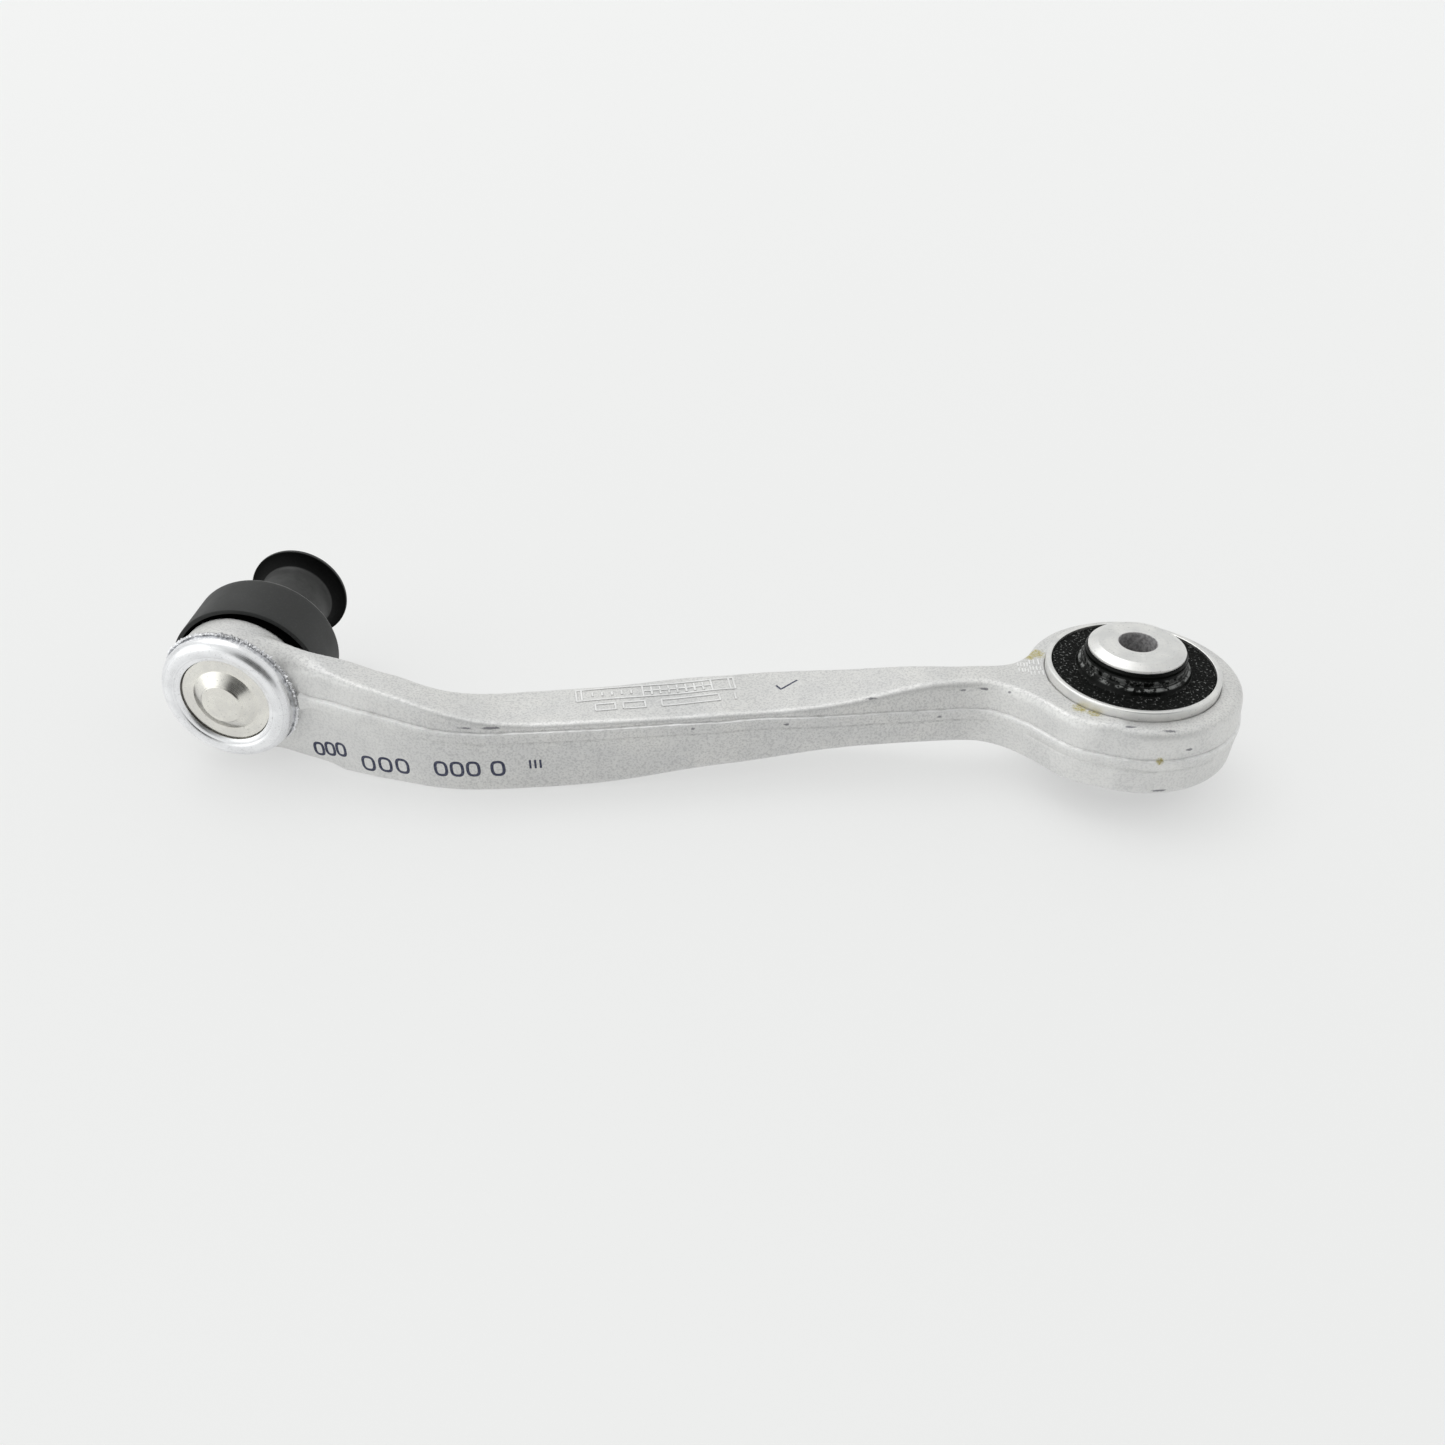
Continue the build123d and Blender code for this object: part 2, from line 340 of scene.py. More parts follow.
class Paint:
    """A material's node tree, with short calls for the nodes used here."""

    def __init__(self, name, **values):
        self.material = bpy.data.materials.new(name)
        self.material.use_nodes = True
        self.tree = self.material.node_tree
        self.shader = self.tree.nodes["Principled BSDF"]
        for socket, value in values.items():
            self.shader.inputs[socket.replace("_", " ")].default_value = value
        self.place = self.add("ShaderNodeTexCoord").outputs["Object"]

    def add(self, kind, settings=None, **inputs):
        """New node, with its settings and its inputs given as values or as other nodes' outputs."""
        made = self.tree.nodes.new(kind)
        for name, value in (settings or {}).items():
            setattr(made, name, value)
        for name, value in inputs.items():
            self.set(made.inputs[name.replace("_", " ")], value)
        return made

    def set(self, socket, value):
        """Link another node's output to a socket, or store a value in it."""
        if isinstance(value, bpy.types.NodeSocket):
            self.tree.links.new(value, socket)
        else:
            socket.default_value = value

    def math(self, operation, *values):
        """Output of a math node with these inputs."""
        made = self.add("ShaderNodeMath", {"operation": operation})
        for socket, value in zip(made.inputs, values):
            self.set(socket, value)
        return made.outputs[0]

    def vector(self, operation, *values, out=0):
        """Output of a vector math node: a vector, or a number where out is 1."""
        made = self.add("ShaderNodeVectorMath", {"operation": operation})
        for socket, value in zip(made.inputs, values):
            self.set(socket, value)
        return made.outputs[out]

    def noise(self, size_mm, detail=3.0, rough=0.55, coords=None, distortion=0.0):
        """Noise between 0 and 1, whose largest grains are about size_mm across."""
        return self.add(
            "ShaderNodeTexNoise", Vector=coords or self.place, Scale=1 / (size_mm * MM),
            Detail=detail, Roughness=rough, Distortion=distortion).outputs["Fac"]

    def remap(self, value, low, high, to_low=0.0, to_high=1.0):
        """Smooth step from to_low to to_high, while the value goes from low to high."""
        made = self.add("ShaderNodeMapRange", {"interpolation_type": "SMOOTHSTEP"})
        for name, setting in zip(("Value", "From Min", "From Max", "To Min", "To Max"),
                                 (value, low, high, to_low, to_high)):
            self.set(made.inputs[name], setting)
        return made.outputs[0]

    def mix(self, share, first, second):
        """Colour that is the first at share 0 and the second at share 1."""
        made = self.add("ShaderNodeMix", {"data_type": "RGBA"})
        self.set(made.inputs[0], share)
        self.set(made.inputs[6], (*first, 1) if isinstance(first, tuple) else first)
        self.set(made.inputs[7], (*second, 1) if isinstance(second, tuple) else second)
        return made.outputs[2]

    def tint(self, colour, share, amount, towards):
        """Move a colour towards another, by a share times an amount."""
        return self.mix(self.math("MULTIPLY", share, amount), colour, towards)

    def mark(self):
        """The value that set_marks gave to the mesh."""
        return self.add("ShaderNodeAttribute", {"attribute_name": "mark"}).outputs["Fac"]

    def bump(self, height, depth_mm, strength=1.0, normal=None):
        """Normal of a surface of this height, on top of another bump if one is given."""
        made = self.add("ShaderNodeBump", Strength=strength, Distance=depth_mm * MM, Height=height)
        if normal:
            self.set(made.inputs["Normal"], normal)
        return made.outputs[0]

    def along(self, letter, vector=None):
        """One coordinate, X, Y or Z, of the place or of another vector."""
        return self.add("ShaderNodeSeparateXYZ", Vector=vector or self.place).outputs[letter]

    def join(self, x=0.0, y=0.0, z=0.0):
        """Vector with these coordinates."""
        return self.add("ShaderNodeCombineXYZ", X=x, Y=y, Z=z).outputs[0]

    def radius(self, origin, axis):
        """Distance from an axis, in metres."""
        arm = self.vector("SUBTRACT", self.place, tuple(origin))
        return self.vector("LENGTH", self.vector("CROSS_PRODUCT", arm, tuple(axis)), out=1)

    def height(self, origin, axis):
        """Distance along an axis, in metres."""
        arm = self.vector("SUBTRACT", self.place, tuple(origin))
        return self.vector("DOT_PRODUCT", arm, tuple(axis), out=1)

    def spots(self, places, ragged):
        """1 inside any of the spots, with ragged edges.

        A spot is (x, y, z, half length along X, half width across), in mm.
        """
        total = 0.0
        for x, y, z, long, wide in places:
            arm = self.vector("SUBTRACT", self.place, (x * MM, y * MM, z * MM))
            arm = self.vector("MULTIPLY", arm, (1 / (long * MM), 1 / (wide * MM), 1 / (wide * MM)))
            reach = self.vector("LENGTH", arm, out=1)
            reach = self.math("ADD", reach, self.math("MULTIPLY", ragged, 1.6))
            total = self.math("MAXIMUM", total, self.remap(reach, 1.35, 1.9, 1.0, 0.0))
        return total

    def band(self, value, low, high, soft):
        """1 between low and high, fading over soft at each end."""
        rise = self.remap(value, low - soft, low + soft)
        fall = self.remap(value, high - soft, high + soft, 1.0, 0.0)
        return self.math("MULTIPLY", rise, fall)

    def finish(self, colour=None, rough=None, normal=None):
        """Link what is given to the shader, and return the material."""
        for name, value in (("Base Color", colour), ("Roughness", rough), ("Normal", normal)):
            if value is not None:
                self.set(self.shader.inputs[name], value)
        return self.material


def turned_metal(name, origin, axis, light, dark, rough, streaks=0.1, bore_mm=0.0):
    """Metal with fine turning lines about an axis, faint stains and small pits, and a dull bore."""
    paint = Paint(name, Metallic=1.0)
    r = paint.radius(origin, axis)
    across = paint.join(r, paint.height(origin, axis))
    lines = paint.noise(0.12, 2, coords=across)
    broad = paint.remap(paint.noise(0.7, 2, coords=across), 0.4, 0.65, 0.0, streaks)
    stains = paint.noise(5, 4)
    specks = paint.remap(paint.noise(0.6, 2), 0.62, 0.72)
    colour = paint.mix(paint.remap(stains, 0.35, 0.7), dark, light)
    colour = paint.mix(broad, colour, STREAK)
    colour = paint.tint(colour, specks, 0.35, PIT)
    uneven = paint.math("ADD", paint.math("MULTIPLY", stains, 0.5), paint.math("MULTIPLY", lines, 0.5))
    roughness = paint.remap(uneven, 0.3, 0.7, rough - 0.07, rough + 0.08)
    normal = paint.bump(lines, 0.012, 0.5)
    normal = paint.bump(paint.noise(0.5, 3), 0.012, 0.4, normal)
    if bore_mm:
        outside = paint.remap(r, (bore_mm + 0.05) * MM, (bore_mm + 0.3) * MM)
        grit = paint.remap(paint.noise(0.9, 3), 0.35, 0.65)
        dull = paint.mix(grit, BORE_DARK, BORE_LIGHT)
        colour = paint.mix(outside, dull, colour)
        roughness = paint.math("MAXIMUM", roughness, paint.remap(outside, 0, 1, 0.7, 0.0))
        paint.set(paint.shader.inputs["Metallic"], paint.remap(outside, 0, 1, 0.1, 1.0))
    return paint.finish(colour, roughness, normal)


# Scuffs on the forging: (x, y, z, length) in mm
SCUFFS = (
    (-72, -9, 6.2, 3.2), (-41.5, -6.2, 8, 3.4), (-46.8, -5.8, 7.4, 1.6), (-34.8, -8.5, 8.6, 1.5),
    (-53, -7.5, -0.3, 2.6), (-94.5, -13, -0.3, 1.6), (-6, -26, 10, 3.0), (3.9, -27.3, 9.8, 3.4),
    (-174, -22.3, 3.4, 6.5), (10, -27.8, 4.4, 2.2), (4.3, -28.9, -8.3, 5.0), (-120, -16.2, 0.2, 1.3),
    (-181, -22.6, 3.6, 4.0),
)
# Yellow paint dabs: (x, y, z, radius) in mm
DABS = (
    (-24.6, 9.4, 10, 2.6), (-26.6, 7.4, 10, 1.5), (-17.3, -17.6, 10, 2.3), (-13.8, -19.6, 10, 2.2),
    (2.3, -29.7, 1.7, 1.1),
)
SHANK_MIDDLE = -118         # x, from which the painted flank light is measured towards both ends


def forged_metal():
    """Shot-blasted aluminium forging, light grey, with scuffs and dabs of paint, painted light on the upright
    faces near its ends, and painted highlight and shade where its marks say.
    """
    paint = Paint("forged_aluminium", Metallic=0.72, Specular_IOR_Level=0.4)
    stains = paint.noise(16, 4)
    blotch = paint.noise(2.6, 3)
    pits = paint.noise(0.62, 3, 0.65)
    colour = paint.mix(paint.remap(stains, 0.3, 0.7), (0.67, 0.67, 0.665), (0.74, 0.736, 0.72))
    colour = paint.tint(colour, paint.remap(blotch, 0.45, 0.7), 0.22, (0.80, 0.80, 0.79))
    colour = paint.tint(colour, paint.remap(pits, 0.46, 0.62), 0.36, (0.40, 0.40, 0.41))

    # The upright faces near both ends are painted lighter: painted light on those flanks, with some polish from
    # handling
    from_middle = paint.math("ABSOLUTE", paint.math("ADD", paint.along("X"), -SHANK_MIDDLE * MM))
    facing = paint.add("ShaderNodeTexCoord").outputs["Normal"]
    upright = paint.remap(paint.math("ABSOLUTE", paint.along("Z", facing)), 0.35, 0.8, 1.0, 0.0)
    patchy = paint.remap(stains, 0.3, 0.6, 0.3, 0.55)
    painted_flank_light = paint.math("MULTIPLY", paint.remap(from_middle, 55 * MM, 100 * MM), patchy)
    colour = paint.tint(colour, painted_flank_light, upright, (0.85, 0.85, 0.84))

    # Marks above 0 paint edges and ledge tops lighter, as wear and painted highlight; marks below 0 paint painted
    # shade under ledges and at the feet of bars
    mark = paint.mark()
    uneven = paint.remap(blotch, 0.3, 0.6, 0.6, 1.0)
    colour = paint.tint(colour, paint.remap(mark, 0.0, 1.0), uneven, WEAR_AND_HIGHLIGHT)
    colour = paint.mix(paint.remap(mark, -1.0, 0.0, 0.75, 0.0), colour, PAINTED_SHADE)

    ragged = paint.noise(1.1, 4, 0.7)
    scuffed = paint.spots([(x, y, z, length * 0.6, 0.45) for x, y, z, length in SCUFFS], ragged)
    colour = paint.tint(colour, scuffed, 0.75, SCUFF)
    dabbed = paint.spots([(x, y, z, radius, radius) for x, y, z, radius in DABS], ragged)
    thin = paint.remap(paint.noise(0.9, 4, 0.7), 0.35, 0.65, 0.2, 0.9)
    colour = paint.tint(colour, dabbed, thin, YELLOW_PAINT)

    rough = paint.remap(pits, 0.3, 0.7, 0.48, 0.64)
    normal = paint.bump(paint.noise(0.7, 4, 0.65), 0.09, 0.85)
    normal = paint.bump(paint.noise(5, 2), 0.15, 0.35, normal)
    return paint.finish(colour, rough, normal)


def black_rubber(name, shade, rough, fine_mm=0.5, depth=0.03, marked=False):
    """Matte black moulding. A marked mesh says per point how much it is painted lighter, as painted highlight and
    light (1), or darker down to black, as painted shade (-1).
    """
    paint = Paint(name, Specular_IOR_Level=0.4)
    dust = paint.noise(9, 4)
    fine = paint.noise(fine_mm, 3)
    low = tuple(shade * c for c in (0.93, 1.0, 0.98))
    high = tuple(shade * 1.45 * c for c in (0.97, 1.0, 0.98))
    colour = paint.mix(paint.remap(dust, 0.35, 0.75), low, high)
    colour = paint.tint(colour, paint.remap(fine, 0.52, 0.66), 0.4, (shade * 2.2,) * 3)
    roughness = paint.remap(dust, 0.3, 0.75, rough - 0.05, rough + 0.08)
    if marked:
        # Painted highlight and light where the mark is above 0; painted shade, near black, where it is below 0
        mark = paint.mark()
        patchy = paint.remap(paint.noise(3, 3), 0.3, 0.6, 0.5, 1.0)
        colour = paint.tint(colour, paint.remap(mark, 0.0, 1.0), patchy, (0.26, 0.26, 0.255))
        painted_black = paint.remap(mark, -1.0, 0.0, 1.0, 0.0)
        colour = paint.mix(painted_black, colour, (0.001, 0.001, 0.001))
        paint.set(paint.shader.inputs["Specular IOR Level"], paint.remap(painted_black, 0.0, 1.0, 0.4, 0.02))
    normal = paint.bump(fine, depth, 0.5)
    return paint.finish(colour, roughness, normal)


def granular_rubber():
    """Bush rubber: a granular face outside with painted sparkles, a ledge with painted glints, and a smooth shiny
    collar inside.
    """
    paint = Paint("bush_rubber", Specular_IOR_Level=0.1)
    r = paint.radius(BUSH_CENTRE, BUSH_AXIS)
    face = paint.remap(r, 15.2 * MM, 15.8 * MM)
    seeded = paint.math("MULTIPLY", face, paint.remap(r, 21.4 * MM, 21.9 * MM, 1.0, 0.0))
    crumbs = paint.add("ShaderNodeTexVoronoi", Vector=paint.place, Scale=1 / (0.8 * MM)).outputs["Distance"]
    patchy = paint.remap(paint.noise(5, 2), 0.35, 0.6, 0.25, 1.0)
    # Painted sparkles: pale specks on the granular face, standing for glints on its crumbs
    painted_sparkle = paint.math("MULTIPLY", paint.remap(paint.noise(0.75, 2), 0.595, 0.66), patchy)
    colour = paint.tint((0.003, 0.0035, 0.003), painted_sparkle, seeded, (0.2, 0.205, 0.2))
    ledge = paint.band(r, 14.3 * MM, 14.9 * MM, 0.15 * MM)
    fold = paint.band(r, 13.75 * MM, 14.0 * MM, 0.12 * MM)
    # Painted glints along the ledge and the collar's fold
    glint_noise = paint.remap(paint.noise(1.9, 4, 0.7), 0.44, 0.58)
    lines = paint.math("MAXIMUM", ledge, paint.math("MULTIPLY", fold, 0.5))
    colour = paint.tint(colour, glint_noise, lines, PAINTED_GLINT)
    streak = paint.noise(2.2, 3, distortion=1.5)
    collar = paint.remap(streak, 0.45, 0.65, 0.34, 0.16)
    roughness = paint.math("MAXIMUM", collar, paint.remap(face, 0.0, 1.0, 0.0, 0.72))
    normal = paint.bump(paint.math("MULTIPLY", crumbs, face), 0.3, 0.9)
    normal = paint.bump(paint.noise(1.6, 3), 0.08, 0.3, normal)
    return paint.finish(colour, roughness, normal)


def ink():
    """Blue-black marking ink, faded in patches."""
    paint = Paint("ink", Specular_IOR_Level=0.2)
    faded = paint.remap(paint.noise(0.7, 3, 0.7), 0.35, 0.7)
    colour = paint.mix(faded, (0.03, 0.035, 0.07), (0.11, 0.115, 0.16))
    roughness = paint.remap(faded, 0, 1, 0.5, 0.65)
    return paint.finish(colour, roughness, paint.bump(paint.noise(0.5, 3), 0.02, 0.4))


def drawn_steel(name, shade, rough):
    """Smooth bright steel with faint stains."""
    paint = Paint(name, Metallic=1.0)
    stains = paint.noise(3, 3)
    low = (shade * 0.93,) * 3
    high = (shade * 1.06, shade * 1.05, shade * 1.02)
    colour = paint.mix(stains, low, high)
    roughness = paint.remap(stains, 0.3, 0.7, rough - 0.02, rough + 0.04)
    return paint.finish(colour, roughness, paint.bump(paint.noise(0.4, 3), 0.006, 0.3))


# ---- Forging ----
def arm_skin(material):
    """The forging, with soft blends where the shank meets the housing and the eye."""
    source = frame["nodes"]["forged_arm"]
    mesh = source.data.copy()
    mesh.name = "arm_skin"
    piece = bpy.data.objects.new("arm_skin", mesh)
    bpy.context.collection.objects.link(piece)
    bpy.context.view_layer.objects.active = piece
    remesh = piece.modifiers.new("remesh", "REMESH")
    remesh.mode = "VOXEL"
    remesh.voxel_size = VOXEL * MM
    remesh.use_smooth_shade = True
    graph = bpy.context.evaluated_depsgraph_get()
    fine = bpy.data.meshes.new_from_object(piece.evaluated_get(graph))
    piece.modifiers.clear()
    piece.data = fine
    smooth_blends(fine)
    fine.materials.clear()
    fine.materials.append(material)
    fine.shade_smooth()
    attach(piece, "arm")
    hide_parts("forged_arm")
    return piece


def ramp(values, start, length):
    """0 before the start and 1 past the length, both in mm; a negative length runs the other way."""
    return np.clip((values - start * MM) / (length * MM), 0, 1)


def neighbour_mean(mesh):
    """Function that gives each vertex the mean of a value over its neighbours."""
    count = len(mesh.vertices)
    ends = np.empty(len(mesh.edges) * 2, int)
    mesh.edges.foreach_get("vertices", ends)
    a, b = ends.reshape(-1, 2).T
    links = np.bincount(a, minlength=count) + np.bincount(b, minlength=count)

    def mean(values):
        return (np.bincount(a, values[b], count) + np.bincount(b, values[a], count)) / links

    return mean


def mean_place(co, mean):
    """Mean place of each vertex's neighbours."""
    return np.stack([mean(co[:, k]) for k in range(3)], axis=1)


def smooth_blends(mesh):
    """Round the creases beside the ball joint, and make room for the pieces that lie on the skin."""
    mean = neighbour_mean(mesh)
    co = read_vectors(mesh, "co")
    height, radius = about_axis(co, BALL_CENTRE, HOUSING_AXIS)
    along = ramp(co[:, 0], -243, 5) * ramp(co[:, 0], -219, -6)
    outside = ramp(radius, 17.8, 0.6) * ramp(height, -10.2, 1.5)
    off_middle = ramp(np.abs(co[:, 2] - BALL_CENTRE.z), 6, 4)
    near = ramp(co[:, 1], -7.5, -2)
    crease = along * outside * off_middle * near
    for step in range(SMOOTH_STEPS):
        if step < OVERALL_STEPS:
            weight = OVERALL_SHARE + (1 - OVERALL_SHARE) * crease
        else:
            weight = np.where(crease > FAINT_CREASE, crease, 0)
        co += (mean_place(co, mean) - co) * (SMOOTH_PACE * weight)[:, None]
    sink_under_pieces(co, height, radius, read_vectors(mesh, "normal"))
    mesh.vertices.foreach_set("co", co.ravel())
    mesh.update()
    bright_edges(mesh, co, mean)


def sink_under_pieces(co, height, radius, normals):
    """Lower the skin under the rolled rim and the flash, and open a thin gap around the bush.

    height and radius are measured about the housing's axis. The sizes named here are in mm.
    """
    rim_height, rim_radius, lowered = -12.1, 19.2, 0.7  # the last is a share
    rim = np.minimum(height - rim_height * MM, 0) * (radius < rim_radius * MM)
    co -= np.outer(rim * lowered, np.array(HOUSING_AXIS))

    reach, fade, depth, eye_depth = 2.2, 0.4, 0.45, 0.25
    eye_start, eye_bore, housing_end, housing_radius = -40, 24, -225, 20.5
    parting = np.interp(co[:, 0], *np.array(PARTING).T * MM)
    above = (co[:, 2] - parting) / MM
    sink = np.clip((reach - np.abs(above)) / fade, 0, 1) * depth
    around_eye = np.clip(above, 0, 1) * np.clip((6 - above) / 4, 0, 1)
    sink += around_eye * eye_depth * (co[:, 0] > eye_start * MM)
    sink *= np.hypot(co[:, 0], co[:, 1]) > eye_bore * MM
    sink *= (radius > housing_radius * MM) | (co[:, 0] > housing_end * MM)
    co[:, :2] -= normals[:, :2] * (sink * MM)[:, None]

    near, gap = 0.7, 0.14
    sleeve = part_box("bush_outer_sleeve")[1].x
    bore = np.hypot(co[:, 0], co[:, 1])
    wanted = np.where(bore < sleeve + near * MM, np.maximum(bore, sleeve + gap * MM), bore)
    co[:, :2] *= (wanted / np.maximum(bore, 1e-9))[:, None]


def bright_edges(mesh, co, mean):
    """Mark the outer edges of the skin to be painted lighter: a painted highlight along them, and wear from
    handling.
    """
    bulge = ((co - mean_place(co, mean)) * read_vectors(mesh, "normal")).sum(axis=1) / MM
    for step in range(4):
        bulge = mean(bulge)
    set_marks(mesh, np.clip((bulge - 0.008) / 0.04, 0, 1) * 0.5)


def flash_path(forging):
    """Points, in mm, on the forging's outside at its parting line.

    They run from the housing along the near flank, round the eye, and back along the far flank.
    """
    def parting(x):
        return float(np.interp(x, *np.array(PARTING).T))

    def reach(origin, direction):
        return forging.hit(origin, direction)[0] / MM

    path = [reach((x, -OUTSIDE, parting(x)), (0, 1, 0)) for x in np.arange(-225.5, -24, 0.8)]
    slope = (path[3] - path[0]) / 3
    path[:0] = [path[0] - slope * k for k in (2, 1)]
    for degrees in np.arange(-136, 137, 1.5):
        angle = math.radians(degrees)
        out = Vector((math.cos(angle), math.sin(angle), 0))
        path.append(reach(EYE_CENTRE.to_3d() + out * OUTSIDE, -out))
    path += [reach((x, OUTSIDE, parting(x)), (0, -1, 0)) for x in np.arange(-25, -216, -0.8)]
    return path


def flash(material):
    """Trimmed flash along the parting line, with a crisp, slightly uneven ledge."""
    path = flash_path(Skin(frame["nodes"]["forged_arm"].data))
    rings = []
    for i, here in enumerate(path):
        ahead = path[min(i + 2, len(path) - 1)] - path[max(i - 2, 0)]
        out = Vector((ahead.y, -ahead.x, 0)).normalized()
        tab = max(0.0, 1 - i / 3)           # 1 at the start, where a small tab is left
        eye = unit((here.x + 30) / 20)      # 1 around the eye
        ball = unit((-185 - here.x) / 25)   # 1 near the ball joint
        top = FLASH_HALF_HEIGHT + 0.12 * grain(here.x, here.y, 0, 0.5) + 0.9 * tab
        foot = FLASH_HALF_HEIGHT + 0.12 * grain(here.x, here.y, 9, 0.5) + 0.5 * tab
        uneven = 0.03 * grain(here.x, here.y, 5, 0.8)
        proud = uneven + 0.7 * tab + 0.16 * (1 - eye) + 0.5 * ball - 0.05
        low = proud - 0.25 * eye
        section = (
            (proud - 1.0 - 0.8 * ball, top + 0.3), (proud - 0.06, top), (proud, top - 0.1), (proud, 0),
            (low, 0.1 - foot), (low - 0.08, -foot), (low - 1.0, -foot - 0.1), (-1.5, 0),
        )
        rings.append([(here + out * n + Vector((0, 0, h))) * MM for n, h in section])
    # The ledge's top is painted lighter, as painted highlight and wear, and its underside darker, as painted shade
    piece = sweep("flash", [rings], material, "arm", marks=(1, 1, 0.5, 0, 0, -0.6, -1, 0))
    return piece


def rolled_rim(material):
    """The bright bead rolled over the cover, at the housing's open end."""
    face = extent("closing_cover", BALL_CENTRE, HOUSING_AXIS)[0] + COVER_BOSS
    outer = 18.72
    crown = arc((outer, face + 1.9), (17.75, face - 0.65), (15.0, face - 1.5), 14)
    profile = crown + [
        (14.3, face - 1.3), (14.1, face - 1.1), (13.7, face - 1.1), (13.0, face - 0.72),
        (12.78, face - 0.55), (12.78, face - 0.32), (13.9, face - 0.25), (14.1, face + 0.2),
        (17.9, face + 2.9), (outer, face + 2.9),
    ]

    def hand_rolled(r, z, angle):
        x, y = math.cos(angle), math.sin(angle)
        return r + 0.035 * grain(2 * x, 2 * y, 0.2 * r, 1), z + 0.03 * grain(3 * x, 3 * y, 4, 1)

    place = axis_matrix(BALL_CENTRE, HOUSING_AXIS)
    mesh = lathe("rolled_rim", profile, place, 200, shape=hand_rolled, sharp=30)
    piece = new_piece("rolled_rim", mesh, material, "arm")
    return piece


def burr(material):
    """Torn sliver of metal left beside the rolled rim, mostly on its side towards the shank."""
    place = axis_matrix(BALL_CENTRE, HOUSING_AXIS)
    first, last, strongest = -62, 132, 45   # degrees
    rings = []
    steps = 420
    for i in range(steps + 1):
        degrees = first + (last - first) * i / steps
        angle = math.radians(degrees)
        x, y = math.cos(angle), math.sin(angle)
        torn = abs(grain(60 * x, 60 * y, 0, 0.6)) + 0.6 * abs(grain(60 * x, 60 * y, 3, 1.7))
        strong = max(0.4, 1 - ((degrees - strongest) / 55) ** 2)
        ends = min(1, i / 25, (steps - i) / 25)
        reach = ends * (0.15 + 1.7 * torn * strong)
        lift = ends * (0.3 + 0.9 * grain(50 * x, 50 * y, 8, 0.5))
        section = (
            (18.3, -9.7), (18.6, -10.3 - 0.3 * ends), (19.0 + 0.7 * reach, -10.9 - lift),
            (19.2 + reach, -10.6 - lift), (19.1 + 0.8 * reach, -10.2 - 0.6 * lift), (18.9, -9.6),
        )
        rings.append([place @ (Vector((r * x, r * y, z)) * MM) for r, z in section])
    piece = sweep("burr", [rings], material, "arm")
    return piece


def raised_marks(skin, material):
    """Blank type frame forged on the shank's top face: a row of cells, with plain boxes below."""
    centre, tilt = Vector((-131.0, -2.7)), math.radians(10.8)
    half_row = 2.65
    cells_left, cells_right, cell = -3.6, 15.7, 2.41

    def put(u, v):
        """Place on the top face of a point that is u along the frame and v across it."""
        x = centre.x + u * math.cos(tilt) - v * math.sin(tilt)
        return x, centre.y + u * math.sin(tilt) + v * math.cos(tilt)

    def box(left, right, low, high):
        corners = (left, low), (right, low), (right, high), (left, high), (left, low)
        return [put(*corner) for corner in corners]

    def upright(u, low, high):
        return [put(u, low), put(u, high)]

    strokes = [box(-22.1, 22.1, -half_row, half_row)]
    strokes += [box(left, right, -7.9, -4.9) for left, right in ((-17.2, -11.8), (-9.6, -3.6), (1, 17))]
    strokes += [upright(u, -half_row, half_row) for u in (-20.6, cells_left, cells_right, 20.8)]
    strokes += [upright(cells_left + cell * k, -1.9, 1.9) for k in range(1, 8)]
    strokes += [[put(cells_left, 0), put(cells_right, 0)], upright(21.4, -7.9, -4.9)]
    strokes += [upright(u, -0.9, 0.9) for u in (-17.6, -14.9, -12.2, -9.5, -6.8)]
    bars = [skin.bar(skin.top, stroke, width=0.8, height=0.2) for stroke in strokes]
    # Marks paint the bars' feet darker, as painted shade, and their tops lighter, as painted highlight
    piece = sweep("type_frame", bars, material, "arm", marks=(-1, 0.6, 0.6, -1))
    return piece


def ink_marks(skin, material):
    """Rows of plain rounded rings and three bars on the near flank, and a tick on the top face."""
    # x and z of a row's first centre and of its last one, height, width and number of rings, in mm
    groups = (
        (-225.2, -11.6, -218.3, -10.2, 4.2, 2.5, 3), (-210.4, -13.0, -200.2, -11.9, 4.6, 3.3, 3),
        (-188.9, -10.7, -179.9, -10.4, 4.6, 3.1, 3), (-173.2, -10.4, -173.2, -10.4, 4.6, 3.2, 1),
    )
    bars = []
    for x0, z0, x1, z1, high, wide, count in groups:
        for k in range(count):
            share = k / max(1, count - 1)
            x, z = x0 + (x1 - x0) * share, z0 + (z1 - z0) * share
            ring = []
            for degrees in range(0, 361, 15):
                angle = math.radians(degrees)
                across, up = math.cos(angle), math.sin(angle)
                squarer = (abs(across) ** 3 + abs(up) ** 3) ** (-1 / 3)
                ring.append((x + across * squarer * wide / 2, z + up * squarer * high / 2))
            bars.append(skin.bar(skin.near_flank, ring, width=1.15, height=0.035))
    for x in (-164.4, -163.0, -161.6):
        bars.append(skin.bar(skin.near_flank, [(x, -10.9), (x, -7.9)], width=0.8, height=0.03))
    tick = [(-97.5, 0.8), (-96.2, -1.2), (-91.6, 3.0)]
    bars.append(skin.bar(skin.top, tick, width=0.8, height=0.03))
    piece = sweep("ink_marks", bars, material, "arm")
    return piece


